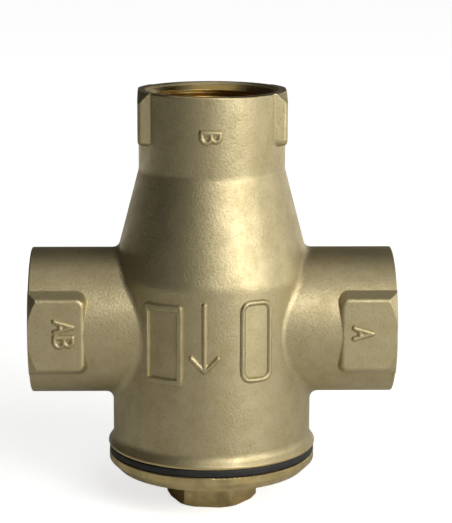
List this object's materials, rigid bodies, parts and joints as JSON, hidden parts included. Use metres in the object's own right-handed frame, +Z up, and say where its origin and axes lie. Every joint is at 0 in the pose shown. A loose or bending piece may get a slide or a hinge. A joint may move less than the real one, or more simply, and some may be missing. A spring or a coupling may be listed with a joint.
{
  "type": "thermostatic mixing valve",
  "caption": "Forged brass thermostatic mixing valve with female threaded side arms and top port, a wax element inside, and a hexagon service cap on a black seal below.",
  "frame": {"origin": "centre of the hexagon's end face, on which the valve stands", "axes": "+Z up the barrel and out of port B, +X out of port A, -X out of port AB, -Y to the front that carries the raised label frame"},
  "size_m": [0.0942, 0.0548, 0.1094],
  "materials": {
    "forged_brass": "shot-blasted hot-forged brass, bare",
    "turned_brass": "machined brass",
    "black_rubber": "matt black rubber",
    "stainless_sheet": "pressed stainless sheet",
    "spring_steel": "drawn spring wire",
    "fibre_gasket": "pressed fibre",
    "ptfe_washer": "white plastic",
    "wax_filling": "solid wax",
    "drawn_cup": "deep-drawn brass sheet"
  },
  "bodies": {
    "housing": {"valve_body": "forged_brass", "bottom_cap": "turned_brass", "cap_seal_ring": "black_rubber", "insert_plate": "stainless_sheet", "insert_gasket": "fibre_gasket", "insert_circlip": "spring_steel", "lower_bridge": "stainless_sheet", "piston_pin": "spring_steel", "upper_frame": "stainless_sheet", "main_spring": "spring_steel"},
    "shuttle": {"main_plate": "stainless_sheet", "main_plate_seal": "black_rubber", "element_guide": "turned_brass", "boot_washer": "ptfe_washer", "rubber_boot": "black_rubber", "wax_charge": "wax_filling", "element_cup": "drawn_cup", "bypass_stem": "turned_brass", "bypass_spring": "spring_steel", "bypass_clip": "spring_steel"},
    "bypass": {"bypass_disc": "stainless_sheet"}
  },
  "joints": [
    {"name": "element_lift", "type": "slide", "parent": "housing", "child": "shuttle", "axis": [0, 0, 1], "range_m": [0, 0.008], "stiffness_N_per_m": 3000, "deforming": ["main_spring"]},
    {"name": "bypass_slide", "type": "slide", "parent": "shuttle", "child": "bypass", "axis": [0, 0, 1], "range_m": [-0.003, 0], "stiffness_N_per_m": 900, "deforming": ["bypass_spring"]}
  ]
}
